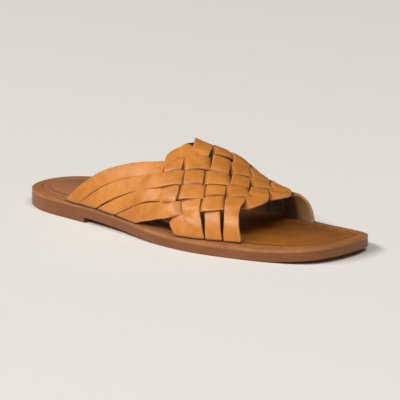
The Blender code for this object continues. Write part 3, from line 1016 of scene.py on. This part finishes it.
class SANDAL_OT_welt(bpy.types.Operator):
    """Make the welt with its wheel marks"""

    bl_idname = "sandal.welt"
    bl_label = "Make the Welt"

    def execute(self, context):
        look = context.scene.sandal_sole
        profile = [
            (0.0, MIDSOLE_TOP),
            (0.0, WELT_TOP - WELT_FALL),
            (WELT_WIDTH, WELT_TOP),
            (WELT_WIDTH, MIDSOLE_TOP),
        ]
        bm, outer, inner = rings(WELT_POINTS, profile)
        bmesh.ops.bridge_loops(bm, edges=outer + inner)
        bmesh.ops.recalc_face_normals(bm, faces=bm.faces)
        middle = (MIDSOLE_TOP + WELT_TOP - WELT_FALL) / 2
        round_rims(bm, look.edge_round / MM, higher_than(middle))
        self.press_marks(bm, look)
        lift_to_sole(bm)
        finish_piece("welt_rand", bm, [welt_leather(look)], ["welt"], 60.0)
        return {"FINISHED"}

    def press_marks(self, bm, look):
        """Presses short grooves across the welt's outer top edge."""
        outline = sole_loop(WELT_POINTS)
        lengths = lengths_along(outline)
        total = lengths[-1] + np.linalg.norm(outline[0] - outline[-1])
        pitch = total / round(total / (look.mark_pitch / MM))
        for vert in bm.verts:
            gaps = np.hypot(*(outline - (vert.co.x, vert.co.y)).T)
            n = int(np.argmin(gaps))
            marked = vert.co.z >= WELT_TOP - WELT_FALL - MARKED_HEIGHT
            if marked and gaps[n] <= MARKED_WIDTH:
                wave = 0.5 + 0.5 * math.cos(2 * math.pi * lengths[n] / pitch)
                vert.co.z -= look.mark_depth / MM * wave**3


SOLE_POINTS = 320


def is_low(edge):
    """Whether an edge of a flat layer lies on its lower face."""
    return max(vert.co.z for vert in edge.verts) < NEAR


class SANDAL_OT_sole(bpy.types.Operator):
    """Make the midsole, the outsole and the heel lift"""

    bl_idname = "sandal.sole"
    bl_label = "Make the Sole"

    def execute(self, context):
        look = context.scene.sandal_sole
        leather = sole_leather(look)
        outer = sole_loop(SOLE_POINTS)
        layers = (
            ("midsole_layer", "midsole", OUTSOLE_TOP, MIDSOLE_TOP),
            ("outsole_layer", "outsole", 0.0, OUTSOLE_TOP),
        )
        for name, node, low, high in layers:
            bm = slab(outer, low, high)
            round_rims(bm, look.edge_round / MM, is_low)
            bend_to_sole(bm)
            finish_piece(name, bm, [leather], [node])
        bm = slab(outer, 0.0, HEEL_LIFT + look.edge_round / MM)  # covers the outsole's rounded edge
        spot = (HEEL_BREAST, 0, 0)
        cut = bmesh.ops.bisect_plane(
            bm, geom=all_of(bm), plane_co=spot, plane_no=(1, 0, 0), clear_outer=True
        )
        bmesh.ops.contextual_create(bm, geom=kind_of(cut["geom_cut"], bmesh.types.BMEdge))
        round_rims(bm, look.edge_round / MM, is_low)
        finish_piece("heel_layer", bm, [leather], ["heel_lift"])
        return {"FINISHED"}


FLOOR_SIZE = 20.0
LIGHT_AWAY = 8.0  # from the sandal to each soft box, so that the floor is lit evenly
LightBox = namedtuple("LightBox", "name azimuth elevation wide high share")
LIGHT_BOXES = [  # share: what each box has of the key power
    LightBox("key_box", -112.0, 44.0, 8.0, 2.2, 1.0),
    LightBox("fill_box", -55.0, 34.0, 3.0, 2.4, 0.14),
    LightBox("toe_box", -17.0, 60.0, 4.0, 2.8, 0.46),
]


class SANDAL_OT_stage(bpy.types.Operator):
    """Lay the floor, and set the lights and the camera"""

    bl_idname = "sandal.stage"
    bl_label = "Set the Stage"

    def execute(self, context):
        look = context.scene.sandal_stage
        scene = context.scene
        self.lay_floor(scene, look)
        self.light_world(scene, look)
        low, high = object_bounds()
        middle = (low + high) / 2
        for box in LIGHT_BOXES:
            turn = Vector((1.0, 0.0, 0.0))
            turn.rotate(Euler((0.0, -math.radians(box.elevation), math.radians(box.azimuth))))
            power = box.share * look.key_power
            self.soft_box(box.name, middle + LIGHT_AWAY * turn, middle, (box.wide, box.high), power)
        self.place_camera(scene, look, middle)
        scene.view_settings.view_transform = "Standard"
        return {"FINISHED"}

    def lay_floor(self, scene, look):
        g = Graph("floor_paint")
        fine = g.noise(g.place(), 60.0, 3.0)
        base = g.colour(fine, look.floor, [0.99 * c for c in look.floor])
        g.set(Base_Color=base, Roughness=0.9, Specular_IOR_Level=0.1)
        bm = bmesh.new()
        bmesh.ops.create_grid(bm, x_segments=2, y_segments=2, size=FLOOR_SIZE)
        mesh = bpy.data.meshes.new("floor")
        bm.to_mesh(mesh)
        bm.free()
        mesh.materials.append(g.material)
        floor = bpy.data.objects.new("floor", mesh)
        scene.collection.objects.link(floor)
        floor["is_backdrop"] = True

    def light_world(self, scene, look):
        world = bpy.data.worlds.new("surround")
        world.use_nodes = True
        back = world.node_tree.nodes["Background"]
        back.inputs["Color"].default_value = (*look.surround, 1.0)
        back.inputs["Strength"].default_value = look.surround_strength
        scene.world = world

    def soft_box(self, name, place, target, size, power):
        light = bpy.data.lights.new(name, "AREA")
        light.shape = "RECTANGLE"
        light.size, light.size_y = size
        light.energy = power
        lamp = bpy.data.objects.new(name, light)
        lamp.location = place
        lamp.rotation_euler = (target - place).to_track_quat("-Z", "Y").to_euler()
        bpy.context.scene.collection.objects.link(lamp)

    def place_camera(self, scene, look, middle):
        camera = bpy.data.cameras.new("camera")
        camera.sensor_width = 36.0
        out = Vector(
            (
                math.sin(look.azimuth) * math.cos(look.elevation),
                -math.cos(look.azimuth) * math.cos(look.elevation),
                math.sin(look.elevation),
            )
        )
        eye = bpy.data.objects.new("camera", camera)
        eye.location = middle + out * look.distance
        eye.rotation_euler = out.to_track_quat("Z", "Y").to_euler()
        scene.collection.objects.link(eye)
        scene.camera = eye
        bpy.context.view_layer.update()
        self.fit_lens(look, eye)

    def fit_lens(self, look, eye):
        """Sets the lens, and turns the camera, so that the sandal takes its share of the picture."""
        across, up = [], []
        to_eye = eye.matrix_world.inverted()
        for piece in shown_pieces():
            for vert in piece.data.vertices:
                spot = to_eye @ vert.co
                across.append(spot.x / -spot.z)
                up.append(spot.y / -spot.z)
        yaw = -(max(across) + min(across)) / 2
        pitch = (max(up) + min(up)) / 2
        turn = Matrix.Rotation(yaw, 4, "Y") @ Matrix.Rotation(pitch, 4, "X")
        eye.rotation_euler = (eye.matrix_world @ turn).to_euler()
        eye.data.lens = look.share * eye.data.sensor_width / (max(across) - min(across))


class SANDAL_PT_panel(bpy.types.Panel):
    """The sandal's settings and steps"""

    bl_label = "Slide Sandal"
    bl_idname = "SANDAL_PT_panel"
    bl_space_type = "VIEW_3D"
    bl_region_type = "UI"
    bl_category = "Sandal"

    def draw(self, context):
        groups = (
            (context.scene.sandal_straps, ("sandal.straps",)),
            (context.scene.sandal_sole, ("sandal.insole", "sandal.welt", "sandal.sole")),
            (context.scene.sandal_stage, ("sandal.stage",)),
        )
        for settings, steps in groups:
            box = self.layout.box()
            for name in settings.__annotations__:
                box.prop(settings, name)
            for step in steps:
                box.operator(step)


CLASSES = (
    SandalStraps,
    SandalSole,
    SandalStage,
    SANDAL_OT_straps,
    SANDAL_OT_insole,
    SANDAL_OT_welt,
    SANDAL_OT_sole,
    SANDAL_OT_stage,
    SANDAL_PT_panel,
)


def register():
    for made in CLASSES:
        bpy.utils.register_class(made)
    bpy.types.Scene.sandal_straps = bpy.props.PointerProperty(type=SandalStraps)
    bpy.types.Scene.sandal_sole = bpy.props.PointerProperty(type=SandalSole)
    bpy.types.Scene.sandal_stage = bpy.props.PointerProperty(type=SandalStage)


def unregister():
    del bpy.types.Scene.sandal_straps
    del bpy.types.Scene.sandal_sole
    del bpy.types.Scene.sandal_stage
    for made in reversed(CLASSES):
        bpy.utils.unregister_class(made)


def main():
    register()
    bpy.ops.sandal.straps()
    bpy.ops.sandal.insole()
    bpy.ops.sandal.welt()
    bpy.ops.sandal.sole()
    bpy.ops.sandal.stage()


if __name__ == "__main__":
    main()
